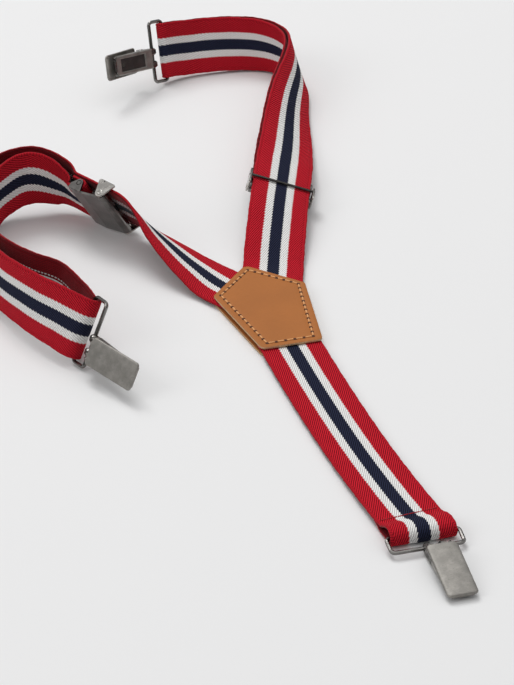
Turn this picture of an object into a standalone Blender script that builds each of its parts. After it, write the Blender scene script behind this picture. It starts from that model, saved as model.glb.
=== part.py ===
"""Child's Y-back suspenders, laid out on a table with the outer side up.

Frame: +Y runs along the leather patch towards the two front straps, +Z is up and the
table is z = 0.  The origin is on the patch's underside, near its middle, where the straps
meet.  Dimensions are in millimetres and are turned into metres when an object is made.
"""

import math

import bmesh
import bpy
from mathutils import Matrix, Vector

MM = 0.001
GAP = 0.3  # between pieces that touch
INSET = 0.05  # of a folded-up edge from the edge of the sheet it stands on

# Webbing
STRAP_WIDTH = 25.0
STRAP_THICK = 1.3
STRAP_ROW = 3.0  # length of one row of faces

# Leather patch
LEATHER_THICK = 1.1
PATCH_MIDDLE = (-2.2, -6.1)
PATCH_HALF_WIDTH = 19.3
PATCH_FOOT_HALF_WIDTH = 12.5
PATCH_TOP_Y = 37.0
PATCH_SHOULDER_Y = 16.5
PATCH_FOOT_Y = -28.4
PATCH_CORNER_R = 2.5
STITCH_INSET = 3.0
THREAD_R = 0.25

# Wire ring between a strap and its clip
WIRE_R = 0.8
RING_LENGTH = 27.2  # across the strap, centre of wire to centre of wire
RING_DEPTH = 7.4
RING_CORNER_R = 1.6

# Clip: x runs from the ring to the jaws, z points to the front plate
SHEET = 0.8
PLATE_WIDTH = 11.6
LEVER_LENGTH = 26.2
LEVER_WIDTH = 9.0
KNUCKLE_R = WIRE_R + GAP + SHEET
JAW_PIN_R = 0.7
JAW_PIN_X = 4.6
JAW_PIN_Z = 2.6
SPRING_R = 0.25
SPRING_TURNS = 3.5
SPRING_HALF = 1.4
EAR_Y = 2.4  # middle of the front plate's ears
PLATE_REAR = (6.2, 6.0)
PLATE_TIP = (31.2, 0.4)
PLATE_CORNER_R = 1.6
PLATE_LIP = 1.4  # height of the bent-down tip

# Adjuster: x runs along the strap, away from the patch, z points out of its face
ADJUSTER_PIN_R = 0.9
ADJUSTER_PIN_Z = -3.6
CAM_R = 2.3
BRIDGE_BAR_X = 1.5
BRIDGE_HALF = 14.2
END_BAR_X = 13.0
END_BAR_R = 0.9
CAM_LENGTH = 16.5
END_TAB_X = 19.0

# Straps as laid: distance along the strap, heading (left of +Y), tilt (left edge up)
# and height of the strap's middle, at the places where its course changes.
RIGHT_START = (0.5, 3.1)
RIGHT_COURSE = (
    (0, -19, 0, 2.05), (26, -19, 0, 2.05), (45, -21, 8, 6.4), (72, -21, 16, 11.4),
    (101, -21, 16, 11.4), (116, -20, 25, 10.8), (133, -19, 33, 10.4), (154, -21, 47, 11.9),
    (174, -25, 61, 13.4), (194, -12, 73, 14.6), (215, 29, 86, 13.5), (235, 74, 101, 12.9),
    (256, 91, 109, 12.9), (272, 108, 110, 14.2),
)
RIGHT_ADJUSTER_AT = 79.5
RIGHT_LAYERS = (  # distance along the strap, gap between the middles of its two layers
    (79, 5.5), (101, 5.5), (116, 4.6), (133, 2.6), (154, 2.0), (254, 2.2), (272, 3.8),
)
LEFT_START = (0.6, -7.4)
LEFT_COURSE = (
    (0, 29, 0, 2.05), (30, 30, 0, 2.05), (48, 28, 14, 5.0), (66, 26, 32, 9.8),
    (88, 28, 57, 16.0), (112, 28, 57, 16.0), (124, 52, 69, 18.0), (140, 81, 88, 19.6),
    (156, 119, 90, 17.6), (173, 149, 96, 14.8), (191, 170, 96, 13.6), (209, 182, 92, 13.7),
    (227, 188, 85, 15.0), (244, 194, 83, 16.3), (261, 202, 78, 17.4), (276, 212, 71, 17.2),
    (288, 219, 65, 15.6),
)
LEFT_ADJUSTER_AT = 93.0
LEFT_LAYERS = (
    (93, 5.5), (112, 5.5), (124, 5.2), (140, 5.3), (156, 7), (173, 7.4), (191, 6),
    (209, 5.6), (227, 7), (244, 11), (261, 17), (276, 14.5), (288, 8),
)
BACK_START = (-2.3, -14.5)
BACK_COURSE = (
    (0, 180, 0, 2.05), (15, 180, 0, 2.05), (45, 180.4, 0, 1.8), (90, 182.2, 0, 1.8),
    (125, 184, 0, 2.2), (147, 185, 0, 2.85), (152, 182, 0, 5.0), (156, 179, 0, 6.3),
    (158, 179, 0, 6.4),
)
BACK_LAYERS = ((147, 1.75), (152, 4.0), (156, 5.3), (158, 5.4))
BACK_SEAM_AT = 145.6
MITRE_X = -3.8  # the front straps' ends are cut along this line under the patch


def material(name, colour, metallic, roughness):
    """A Principled material."""
    made = bpy.data.materials.new(name)
    made.use_nodes = True
    shader = made.node_tree.nodes["Principled BSDF"]
    shader.inputs["Base Color"].default_value = (*colour, 1)
    shader.inputs["Metallic"].default_value = metallic
    shader.inputs["Roughness"].default_value = roughness
    return made


def new_collection(name):
    made = bpy.data.collections.new(name)
    bpy.context.scene.collection.children.link(made)
    return made


def clear_scene():
    for obj in list(bpy.data.objects):
        bpy.data.objects.remove(obj, do_unlink=True)


# ---------------------------------------------------------------- small geometry

def arc(centre, radius, start, end, steps):
    """Points on an arc, angles in degrees."""
    turns = [math.radians(start + (end - start) * i / steps) for i in range(steps + 1)]
    return [(centre[0] + radius * math.cos(a), centre[1] + radius * math.sin(a)) for a in turns]


def rounded(corners, radius, steps=4):
    """A closed outline with each corner turned into an arc."""
    outline = []
    for i, corner in enumerate(corners):
        here = Vector(corner)
        before = (Vector(corners[i - 1]) - here).normalized()
        after = (Vector(corners[(i + 1) % len(corners)]) - here).normalized()
        half = before.angle(after) / 2
        centre = here + (before + after).normalized() * (radius / math.sin(half))
        first = here + before * (radius / math.tan(half)) - centre
        last = here + after * (radius / math.tan(half)) - centre
        sweep = first.angle_signed(last)
        for k in range(steps + 1):
            spoke = first.copy()
            spoke.rotate(Matrix.Rotation(-sweep * k / steps, 2))
            outline.append(tuple(centre + spoke))
    return outline


def circle(centre, radius, sides=16):
    return arc(centre, radius, 0, 360, sides)[:-1]


def smooth_value(stations, column, at):
    """The value of one column of a station table, eased so that it never overshoots."""
    where = [row[0] for row in stations]
    value = [row[column] for row in stations]
    slope = [(b - a) / (q - p) for a, b, p, q in zip(value, value[1:], where, where[1:])]
    tangent = [slope[0]]
    for a, b in zip(slope, slope[1:]):
        tangent.append(0 if a * b <= 0 else 2 * a * b / (a + b))
    tangent.append(slope[-1])
    i = max(k for k in range(len(slope)) if where[k] <= at or k == 0)
    span = where[i + 1] - where[i]
    t = (at - where[i]) / span
    return (
        (2 * t**3 - 3 * t**2 + 1) * value[i] + (t**3 - 2 * t**2 + t) * span * tangent[i]
        + (3 * t**2 - 2 * t**3) * value[i + 1] + (t**3 - t**2) * span * tangent[i + 1]
    )


class Course:
    """The middle line of a strap's outer layer, with its frame at each millimetre."""

    def __init__(self, start, stations):
        self.length = stations[-1][0]
        heading = [math.radians(smooth_value(stations, 1, s + 0.5)) for s in range(self.length)]
        self.points = [Vector((*start, smooth_value(stations, 3, 0)))]
        for s, turn in enumerate(heading):
            last = self.points[-1]
            height = smooth_value(stations, 3, s + 1)
            step = Vector((-math.sin(turn), math.cos(turn), 0))
            self.points.append(Vector((last.x + step.x, last.y + step.y, height)))
        self.tilts = [math.radians(smooth_value(stations, 2, s)) for s in range(self.length + 1)]

    def frame(self, at):
        """Rotation and origin at a distance: x along, y to the left edge, z out of the face."""
        inside = min(max(at, 0), self.length)
        i = min(int(inside), self.length - 1)
        share = inside - i
        before = self.points[max(i - 1, 0)]
        after = self.points[min(i + 2, self.length)]
        along = (after - before).normalized()
        level = Vector((0, 0, 1)).cross(along).normalized()
        tilt = self.tilts[i] * (1 - share) + self.tilts[i + 1] * share
        out = Matrix.Rotation(tilt, 3, along) @ along.cross(level)
        left = out.cross(along)
        origin = self.points[i].lerp(self.points[i + 1], share) + along * (at - inside)
        turn = Matrix((along, left, out)).transposed().to_4x4()
        return Matrix.Translation(origin) @ turn

    def place(self, at, out, left):
        return self.frame(at) @ Vector((0, left, out))


# ---------------------------------------------------------------- object makers

def add(name, data, look, parent=None, frame=None):
    """Put an object in the model; its own frame is in millimetres under its parent."""
    obj = bpy.data.objects.new(name, data)
    if look:
        data.materials.append(look)
    MODEL.objects.link(obj)
    if parent:
        obj.parent = parent
    if frame:
        obj.matrix_local = metres(frame)
    return obj


def metres(frame):
    """A frame with its origin turned from millimetres into metres."""
    moved = frame.copy()
    moved.translation = frame.translation * MM
    return moved


def joint_frame(name, frame, parent=None):
    """An empty on a joint's axis, which is its y axis."""
    empty = bpy.data.objects.new(name, None)
    empty.empty_display_size = 0.005
    MODEL.objects.link(empty)
    if parent:
        empty.parent = parent
    empty.matrix_local = metres(frame)
    return empty


def pitch(degrees, origin=(0, 0, 0)):
    """A frame turned about y, so that x dips towards -z."""
    return Matrix.Translation(Vector(origin)) @ Matrix.Rotation(math.radians(degrees), 4, "Y")


def mesh_from(bm, name):
    bmesh.ops.scale(bm, vec=(MM, MM, MM), verts=bm.verts)
    mesh = bpy.data.meshes.new(name)
    bm.to_mesh(mesh)
    bm.free()
    return mesh


def box(name, low, high):
    """A box between two corners."""
    bm = bmesh.new()
    size = [b - a for a, b in zip(low, high)]
    middle = [(a + b) / 2 for a, b in zip(low, high)]
    place = Matrix.Translation(Vector(middle)) @ Matrix.Diagonal((*size, 1))
    bmesh.ops.create_cube(bm, size=1, matrix=place)
    return mesh_from(bm, name)


def rod(name, radius, length, sides=16):
    """A cylinder along y."""
    bm = bmesh.new()
    bmesh.ops.create_cone(
        bm, cap_ends=True, segments=sides, radius1=radius, radius2=radius, depth=length,
        matrix=Matrix.Rotation(math.pi / 2, 4, "X"),
    )
    mesh = mesh_from(bm, name)
    mesh.shade_smooth()
    mesh.set_sharp_from_angle(angle=math.radians(40))
    return mesh


def curve_mesh(curve):
    """The closed mesh of a curve, and the curve removed."""
    holder = bpy.data.objects.new("holder", curve)
    MODEL.objects.link(holder)
    shape = bpy.data.meshes.new_from_object(
        holder.evaluated_get(bpy.context.evaluated_depsgraph_get())
    )
    bpy.data.objects.remove(holder)
    bm = bmesh.new()
    bm.from_mesh(shape)
    bmesh.ops.remove_doubles(bm, verts=bm.verts, dist=1e-6)
    bmesh.ops.recalc_face_normals(bm, faces=bm.faces)
    bm.to_mesh(shape)
    bm.free()
    return shape


def poly_spline(curve, points, closed):
    spline = curve.splines.new("POLY")
    spline.points.add(len(points) - 1)
    for target, point in zip(spline.points, points):
        x, y, z = (*point, 0)[:3]
        target.co = (x * MM, y * MM, z * MM, 1)
    spline.use_cyclic_u = closed


def plate(name, outline, thick, holes=()):
    """A flat plate: an outline in its own xy plane, thick along z, centred on z = 0."""
    curve = bpy.data.curves.new(name, "CURVE")
    curve.dimensions = "2D"
    curve.fill_mode = "BOTH"
    curve.extrude = thick * MM / 2
    for points in (outline, *holes):
        poly_spline(curve, points, True)
    return curve_mesh(curve)


def wire(name, points, radius, closed=False):
    """A round wire along points."""
    curve = bpy.data.curves.new(name, "CURVE")
    curve.dimensions = "3D"
    curve.bevel_depth = radius * MM
    curve.bevel_resolution = 2
    curve.use_fill_caps = not closed
    poly_spline(curve, points, closed)
    return curve_mesh(curve)


def upright(mesh, y=0.0):
    """Turn a plate drawn in xz so that its thickness runs along y, at a given y."""
    mesh.transform(Matrix.Translation((0, y * MM, 0)) @ Matrix.Rotation(math.pi / 2, 4, "X"))
    return mesh


def united(name, pieces, look, parent):
    """One object from overlapping meshes."""
    obj = add(name, pieces[0], look, parent)
    for i, piece in enumerate(pieces[1:]):
        boolean(obj, cutter(f"{name}_piece_{i}", piece, parent), "UNION")
    return obj


def cutter(name, mesh, parent=None):
    obj = bpy.data.objects.new(name, mesh)
    CUTTERS.objects.link(obj)
    obj.parent = parent
    obj.hide_render = True
    obj.display_type = "WIRE"
    return obj


def boolean(obj, tool, operation):
    step = obj.modifiers.new(tool.name, "BOOLEAN")
    step.operation = operation
    step.object = tool


# ---------------------------------------------------------------- webbing

def webbing_mesh(name, course, line):
    """The middle surface of webbing whose side view is a line of (distance, out) points."""
    bm = bmesh.new()
    bmesh.ops.create_grid(bm, x_segments=len(line) - 1, y_segments=2, size=0.5)
    for vert in bm.verts:
        at, out = line[round((vert.co.x + 0.5) * (len(line) - 1))]
        vert.co = course.place(at, out, vert.co.y * STRAP_WIDTH)
    return mesh_from(bm, name)


def webbing(name, course, line, parent=None):
    obj = add(name, webbing_mesh(name, course, line), WEBBING)
    if parent:
        obj.parent = parent
        obj.matrix_parent_inverse = parent.matrix_world.inverted()
    thick = obj.modifiers.new("thickness", "SOLIDIFY")
    thick.thickness = STRAP_THICK * MM
    thick.offset = 0
    return obj


def spaced(start, end):
    count = max(1, round(abs(end - start) / STRAP_ROW))
    return [start + (end - start) * i / count for i in range(count + 1)]


def looped_line(course, layers, end_at):
    """Outer layer, turn round the ring's wire, and inner layer back to end_at."""
    last = layers[-1][1]
    outer = [(s, 0) for s in spaced(0, course.length)]
    turn = [
        (course.length + x, z) for x, z in arc((0, -last / 2), last / 2, 90, -90, 10)[1:-1]
    ]
    inner = [(s, -smooth_value(layers, 1, s)) for s in spaced(course.length, end_at)]
    return outer + turn + inner


def ring_frame(course, layers):
    """The frame of the wire that lies in the strap's loop."""
    last = layers[-1][1]
    reach = last / 2 - STRAP_THICK / 2 - 1.5 * GAP - WIRE_R
    return course.frame(course.length) @ Matrix.Translation((reach, 0, -last / 2))


# ---------------------------------------------------------------- leather patch

def patch_outline(inset):
    """The patch's pentagon, drawn in by an inset."""
    slope = inset * math.tan(math.radians(22))
    return rounded(
        [
            (0, PATCH_TOP_Y - inset * math.sqrt(2)),
            (PATCH_HALF_WIDTH - inset, PATCH_SHOULDER_Y - slope / 2),
            (PATCH_FOOT_HALF_WIDTH - inset, PATCH_FOOT_Y + inset),
            (-PATCH_FOOT_HALF_WIDTH + inset, PATCH_FOOT_Y + inset),
            (-PATCH_HALF_WIDTH + inset, PATCH_SHOULDER_Y - slope / 2),
        ],
        PATCH_CORNER_R,
    )


def make_patch():
    """Two leathers with the straps' ends between them, and the thread round the edge."""
    top = LEATHER_THICK + 2 * GAP + STRAP_THICK
    for name, bottom in (("patch_inner", 0), ("patch_outer", top)):
        frame = Matrix.Translation((*PATCH_MIDDLE, bottom + LEATHER_THICK / 2))
        add(name, plate(name, patch_outline(0), LEATHER_THICK), LEATHER, frame=frame)
    height = top + LEATHER_THICK + GAP + THREAD_R
    loop = [(x, y, 0) for x, y in patch_outline(STITCH_INSET)]
    frame = Matrix.Translation((*PATCH_MIDDLE, height))
    add("patch_thread", wire("patch_thread", loop, THREAD_R, closed=True), THREAD, frame=frame)


# ---------------------------------------------------------------- ring and clip

def make_ring(side, axis):
    """A rounded rectangle of wire; its strap side lies on the axis."""
    low, high = -RING_LENGTH / 2, RING_LENGTH / 2
    outline = rounded([(0, low), (RING_DEPTH, low), (RING_DEPTH, high), (0, high)], RING_CORNER_R, 5)
    mesh = wire(f"{side}_ring", [(x, y, 0) for x, y in outline], WIRE_R, closed=True)
    add(f"{side}_ring", mesh, DARK_METAL, axis)


def front_plate_meshes():
    """Sloping plate with round corners and a bent-down tip, and the ears that hold its pin."""
    half = PLATE_WIDTH / 2
    rear, tip = Vector(PLATE_REAR), Vector(PLATE_TIP)
    run = (tip - rear).normalized()
    normal = Vector((-run.y, run.x))
    length = (tip - rear).length
    outline = rounded([(0, -half), (length, -half), (length, half), (0, half)], PLATE_CORNER_R)
    top = plate("plate", outline, SHEET)
    middle = rear - normal * SHEET / 2
    slope = pitch(-math.degrees(math.atan2(run.y, run.x)), (middle.x, 0, middle.y))
    top.transform(metres(slope))
    end = tip - run * INSET - normal * SHEET / 2
    lip = [end, end - run * SHEET, end - run * SHEET - normal * PLATE_LIP, end - normal * PLATE_LIP]
    lip_mesh = upright(plate("lip", [tuple(p) for p in lip], PLATE_WIDTH - 2 * PLATE_CORNER_R))
    pin = (JAW_PIN_X, JAW_PIN_Z)
    front = rear + run * 5.0 - normal * 0.4
    back = rear + run * 0.6 - normal * 0.4
    ear = [tuple(back)] + arc(pin, 1.9, 130, 330, 9) + [tuple(front)]
    ears = [
        upright(plate("ear", ear, SHEET, [circle(pin, JAW_PIN_R + GAP)]), y) for y in (EAR_Y, -EAR_Y)
    ]
    return [top, lip_mesh, *ears]


def lever_meshes():
    """Channel with a knuckle round the ring's wire, ears for the pin, and a hooked jaw."""
    base = -KNUCKLE_R
    knuckle = arc((0, 0), KNUCKLE_R, -90, -360, 14) + arc((0, 0), KNUCKLE_R - SHEET, 0, 270, 14)
    jaw = [
        (1.5, base + SHEET), (LEVER_LENGTH - 1.2, base + SHEET), (LEVER_LENGTH - 0.6, base + 1.3),
        (LEVER_LENGTH + 0.2, base + 1.3), (LEVER_LENGTH + 0.2, base),
    ]
    channel = upright(plate("channel", knuckle + jaw, LEVER_WIDTH))
    pin = (JAW_PIN_X, JAW_PIN_Z)
    wall = (
        [(LEVER_LENGTH - 2, base + 0.1), (LEVER_LENGTH - 2, base + 1.2), (10.5, base + 2.0)]
        + arc(pin, 2.0, 20, 180, 8) + [(2.8, base + 1.0), (2.8, base + 0.1)]
    )
    y = LEVER_WIDTH / 2 - INSET - SHEET / 2
    walls = [
        upright(plate("wall", wall, SHEET, [circle(pin, JAW_PIN_R + GAP)]), w) for w in (y, -y)
    ]
    return [channel, *walls]


def spring_points():
    """A torsion spring: a coil round the pin with a leg under the plate and one on the lever."""
    radius = JAW_PIN_R + GAP + SPRING_R
    steps = 12
    count = int(SPRING_TURNS * steps)
    coil = []
    for i in range(count + 1):
        angle = math.radians(90) + 2 * math.pi * i / steps
        coil.append((
            JAW_PIN_X + radius * math.cos(angle), SPRING_HALF * (1 - 2 * i / count),
            JAW_PIN_Z + radius * math.sin(angle),
        ))
    upper = [(14.0, SPRING_HALF, 2.5), (9.0, SPRING_HALF, 3.6)]
    lower = [(9.0, -SPRING_HALF, 0.1), (15.0, -SPRING_HALF, -0.5)]
    return upper + coil + lower


def make_clip(side, frame, ring_pitch, clip_pitch, shift):
    """A ring in the strap's loop, and the clip that hangs on it."""
    strap_axis = joint_frame(f"{side}_ring_axis", frame @ pitch(ring_pitch))
    make_ring(side, strap_axis)
    knuckle_axis = joint_frame(
        f"{side}_knuckle_axis", pitch(clip_pitch, (RING_DEPTH, shift, 0)), strap_axis
    )
    united(f"{side}_jaw_lever", lever_meshes(), DARK_METAL, knuckle_axis)
    jaw_axis = joint_frame(
        f"{side}_jaw_axis", Matrix.Translation((JAW_PIN_X, 0, JAW_PIN_Z)), knuckle_axis
    )
    add(f"{side}_jaw_pin", rod(f"{side}_jaw_pin", JAW_PIN_R, LEVER_WIDTH), BRIGHT_METAL, jaw_axis)
    spring = wire(f"{side}_spring", spring_points(), SPRING_R)
    add(f"{side}_spring", spring, BRIGHT_METAL, knuckle_axis)
    plate_meshes = front_plate_meshes()
    for mesh in plate_meshes:
        mesh.transform(Matrix.Translation((-JAW_PIN_X * MM, 0, -JAW_PIN_Z * MM)))
    united(f"{side}_front_plate", plate_meshes, BRUSHED_METAL, jaw_axis)


# ---------------------------------------------------------------- adjuster

def bridge_meshes():
    """A bar across the strap's face, with an ear down each side to the pin."""
    height = STRAP_THICK / 2 + GAP
    ear = (
        [(4.5, height + 1.2), (-4.5, height + 1.2)]
        + arc((0, ADJUSTER_PIN_Z), 2.2, 195, 345, 8)
    )
    hole = circle((0, ADJUSTER_PIN_Z), ADJUSTER_PIN_R + GAP)
    ears = [
        upright(plate("ear", ear, SHEET, [hole]), y)
        for y in (BRIDGE_HALF - SHEET / 2, SHEET / 2 - BRIDGE_HALF)
    ]
    low = (BRIDGE_BAR_X - 0.85, 0.1 - BRIDGE_HALF, height)
    high = (BRIDGE_BAR_X + 0.85, BRIDGE_HALF - 0.1, height + 1.0)
    return [box("bar", low, high), *ears]


def cam_meshes():
    """A cam rolled round the pin, a plate under the strap, and flanges for the end bar."""
    pin = (0, ADJUSTER_PIN_Z)
    outer = arc(pin, CAM_R, -90, -350, 16)
    inner = arc(pin, ADJUSTER_PIN_R + GAP, 10, 270, 16)
    under = ADJUSTER_PIN_Z - END_BAR_R - 2 * GAP - STRAP_THICK
    run = [
        (1.5, ADJUSTER_PIN_Z - CAM_R + SHEET + 0.1), (9.0, under), (CAM_LENGTH, under),
        (CAM_LENGTH, under - SHEET), (9.0, under - SHEET),
    ]
    half = BRIDGE_HALF - SHEET - GAP
    side = upright(plate("cam", outer + inner + run, 2 * half))
    foot = under - SHEET + INSET
    flange = (
        [(CAM_LENGTH - INSET, foot), (CAM_LENGTH - INSET, under + 1.5)]
        + arc((END_BAR_X, ADJUSTER_PIN_Z), 1.9, 20, 170, 6) + [(9.5, foot)]
    )
    hole = circle((END_BAR_X, ADJUSTER_PIN_Z), END_BAR_R + GAP)
    y = STRAP_WIDTH / 2 + GAP + SHEET / 2
    flanges = [upright(plate("flange", flange, SHEET, [hole]), w) for w in (y, -y)]
    return [side, *flanges]


def end_tab_line(at):
    """The strap's end: in along the plate, round the bar, and back under the outer layer."""
    reach = END_BAR_R + GAP + STRAP_THICK / 2
    turn = arc((END_BAR_X, ADJUSTER_PIN_Z), reach, 270, 90, 10)
    points = [(END_TAB_X, ADJUSTER_PIN_Z - reach), *turn, (END_TAB_X, ADJUSTER_PIN_Z + reach)]
    return [(at + x, z) for x, z in points]


def make_adjuster(side, course, at):
    """Bridge and pin on the strap; cam lever, end bar and sewn strap end on the hinge."""
    base = joint_frame(f"{side}_adjuster", course.frame(at))
    united(f"{side}_bridge", bridge_meshes(), BRUSHED_METAL, base)
    pin_axis = joint_frame(f"{side}_cam_axis", Matrix.Translation((0, 0, ADJUSTER_PIN_Z)), base)
    pin_length = 2 * BRIDGE_HALF
    add(
        f"{side}_bridge_pin", rod(f"{side}_bridge_pin", ADJUSTER_PIN_R, pin_length),
        BRIGHT_METAL, pin_axis,
    )
    meshes = cam_meshes()
    for mesh in meshes:
        mesh.transform(Matrix.Translation((0, 0, -ADJUSTER_PIN_Z * MM)))
    united(f"{side}_cam_lever", meshes, DARK_METAL, pin_axis)
    bar = rod(f"{side}_end_bar", END_BAR_R, STRAP_WIDTH + 2 * (GAP + SHEET))
    add(f"{side}_end_bar", bar, DARK_METAL, pin_axis, Matrix.Translation((END_BAR_X, 0, 0)))
    bpy.context.view_layer.update()
    webbing(f"{side}_strap_end", course, end_tab_line(at), pin_axis)


# ---------------------------------------------------------------- straps

def make_front_strap(side, start, stations, layers, adjuster_at, mitre):
    """A strap from the patch, through its adjuster, to its clip and back."""
    course = Course(start, stations)
    name = f"{side}_front_strap"
    line = looped_line(course, layers, adjuster_at + END_TAB_X + 2 * GAP)
    strap = webbing(name, course, line)
    boolean(strap, cutter(f"{side}_mitre", box("mitre", *mitre)), "DIFFERENCE")
    make_adjuster(side, course, adjuster_at)
    return course


def make_back_strap():
    course = Course(BACK_START, BACK_COURSE)
    webbing("back_strap", course, looped_line(course, BACK_LAYERS, BACK_SEAM_AT - 3))
    height = STRAP_THICK / 2 + GAP + THREAD_R
    half = STRAP_WIDTH / 2 - 1.5
    ends = [tuple(course.place(BACK_SEAM_AT, height, y)) for y in (-half, half)]
    add("back_strap_thread", wire("back_strap_thread", ends, THREAD_R), THREAD)
    return course


def main():
    make_patch()
    back = make_back_strap()
    make_clip("back", ring_frame(back, BACK_LAYERS), 13.4, -11.4, 2.4)
    right = make_front_strap(
        "right", RIGHT_START, RIGHT_COURSE, RIGHT_LAYERS, RIGHT_ADJUSTER_AT,
        ((MITRE_X - 40, -20, -5), (MITRE_X + GAP / 2, 36, 12)),
    )
    make_clip("right", ring_frame(right, RIGHT_LAYERS), 8.0, 8.0, -2.4)
    left = make_front_strap(
        "left", LEFT_START, LEFT_COURSE, LEFT_LAYERS, LEFT_ADJUSTER_AT,
        ((MITRE_X - GAP / 2, -30, -5), (MITRE_X + 40, 36, 12)),
    )
    make_clip("left", ring_frame(left, LEFT_LAYERS), -20.0, -4.0, -4.2)


clear_scene()
MODEL = new_collection("suspenders")
CUTTERS = new_collection("cutters")
WEBBING = material("webbing", (0.50, 0.02, 0.04), 0.0, 0.85)
LEATHER = material("leather", (0.42, 0.18, 0.07), 0.0, 0.6)
THREAD = material("thread", (0.55, 0.26, 0.09), 0.0, 0.8)
BRUSHED_METAL = material("brushed_metal", (0.33, 0.31, 0.29), 1.0, 0.42)
DARK_METAL = material("dark_metal", (0.14, 0.13, 0.13), 1.0, 0.3)
BRIGHT_METAL = material("bright_metal", (0.5, 0.48, 0.46), 1.0, 0.3)
main()
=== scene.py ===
"""Looks of the child's Y-back suspenders: striped elastic webbing, tan leather patch,
antique metal adjusters and clips, on a pale studio floor.

Lengths are in millimetres until they are placed; the frame itself is in metres."""

import math

import bmesh
import bpy
from mathutils import Matrix, Vector


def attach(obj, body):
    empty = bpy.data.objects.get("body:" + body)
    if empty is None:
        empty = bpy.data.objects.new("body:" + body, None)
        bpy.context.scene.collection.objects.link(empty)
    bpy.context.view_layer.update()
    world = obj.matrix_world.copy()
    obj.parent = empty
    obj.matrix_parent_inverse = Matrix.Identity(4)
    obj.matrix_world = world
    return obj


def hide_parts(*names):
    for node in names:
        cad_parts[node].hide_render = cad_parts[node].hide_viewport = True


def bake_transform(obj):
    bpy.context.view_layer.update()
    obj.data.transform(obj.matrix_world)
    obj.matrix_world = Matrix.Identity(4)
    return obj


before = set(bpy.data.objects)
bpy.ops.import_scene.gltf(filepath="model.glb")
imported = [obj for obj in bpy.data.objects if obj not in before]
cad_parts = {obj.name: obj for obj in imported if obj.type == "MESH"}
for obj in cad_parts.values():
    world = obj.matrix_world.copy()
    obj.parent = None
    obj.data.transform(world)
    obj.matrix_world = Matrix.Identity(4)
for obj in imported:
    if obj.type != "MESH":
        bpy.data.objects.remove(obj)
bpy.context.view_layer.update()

MM = 0.001
GAP = 0.3

# ---------------------------------------------------------------- sizes shared with the CAD

STRAP_WIDTH = 25.0
STRAP_THICK = 1.3
LEATHER_THICK = 1.1
PATCH_MIDDLE = (-2.2, -6.1)
PATCH_HALF_WIDTH = 19.3
PATCH_FOOT_HALF_WIDTH = 12.5
PATCH_TOP_Y = 37.0
PATCH_SHOULDER_Y = 16.5
PATCH_FOOT_Y = -28.4
PATCH_CORNER_R = 2.5
STITCH_INSET = 3.0
END_BAR_X = 13.0
END_BAR_R = 0.9
ADJUSTER_PIN_Z = -3.6
BRIDGE_BAR_X = 1.5
BRIDGE_HALF = 14.2
END_TAB_X = 19.0
WIRE_R = 0.8
RING_DEPTH = 7.4
JAW_PIN_X = 4.6
JAW_PIN_Z = 2.6
EAR_Y = 2.4
PLATE_WIDTH = 11.6
PLATE_REAR = (6.2, 6.0)
PLATE_TIP = (31.2, 0.4)
PLATE_CORNER_R = 1.6
PLATE_LIP = 1.4
KNUCKLE_R = 1.9
LEVER_LENGTH = 26.2
LEVER_WIDTH = 9.0
SHEET = 0.8
STRAP_END_FROM = 48  # from an adjuster's pin to where the strap end that turns with it begins

# Straps as laid: distance along the strap, heading (left of +Y), tilt (left edge up)
# and height of the strap's middle, at the places where its course changes.
RIGHT_START = (0.5, 3.1)
RIGHT_COURSE = (
    (0, -19, 0, 2.05), (26, -19, 0, 2.05), (45, -21, 8, 6.4), (72, -21, 16, 11.4),
    (101, -21, 16, 11.4), (116, -20, 25, 10.8), (133, -19, 33, 10.4), (154, -21, 47, 11.9),
    (174, -25, 61, 13.4), (194, -12, 73, 14.6), (215, 29, 86, 13.5), (235, 74, 101, 12.9),
    (256, 91, 109, 12.9), (272, 108, 110, 14.2),
)
RIGHT_ADJUSTER_AT = 79.5
RIGHT_LAYERS = (  # distance along the strap, gap between the middles of its two layers
    (79, 5.5), (101, 5.5), (116, 4.6), (133, 2.6), (154, 2.0), (254, 2.2), (272, 3.8),
)
LEFT_START = (0.6, -7.4)
LEFT_COURSE = (
    (0, 29, 0, 2.05), (30, 30, 0, 2.05), (48, 28, 14, 5.0), (66, 26, 32, 9.8),
    (88, 28, 57, 16.0), (112, 28, 57, 16.0), (124, 52, 69, 18.0), (140, 81, 88, 19.6),
    (156, 119, 90, 17.6), (173, 149, 96, 14.8), (191, 170, 96, 13.6), (209, 182, 92, 13.7),
    (227, 188, 85, 15.0), (244, 194, 83, 16.3), (261, 202, 78, 17.4), (276, 212, 71, 17.2),
    (288, 219, 65, 15.6),
)
LEFT_ADJUSTER_AT = 93.0
LEFT_LAYERS = (
    (93, 5.5), (112, 5.5), (124, 5.2), (140, 5.3), (156, 7), (173, 7.4), (191, 6),
    (209, 5.6), (227, 7), (244, 11), (261, 17), (276, 14.5), (288, 8),
)
BACK_START = (-2.3, -14.5)
BACK_COURSE = (
    (0, 180, 0, 2.05), (15, 180, 0, 2.05), (45, 180.4, 0, 1.8), (90, 182.2, 0, 1.8),
    (125, 184, 0, 2.2), (147, 185, 0, 2.85), (152, 182, 0, 5.0), (156, 179, 0, 6.3),
    (158, 179, 0, 6.4),
)
BACK_LAYERS = ((147, 1.75), (152, 4.0), (156, 5.3), (158, 5.4))
BACK_SEAM_AT = 145.6

# Clips as laid: pitch of the ring, pitch of the clip on it, and place along the wire.
CLIP_POSES = {"back": (13.4, -11.4, 2.4), "right": (8.0, 8.0, -2.4), "left": (-20.0, -4.0, -4.2)}

# ---------------------------------------------------------------- looks

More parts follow.
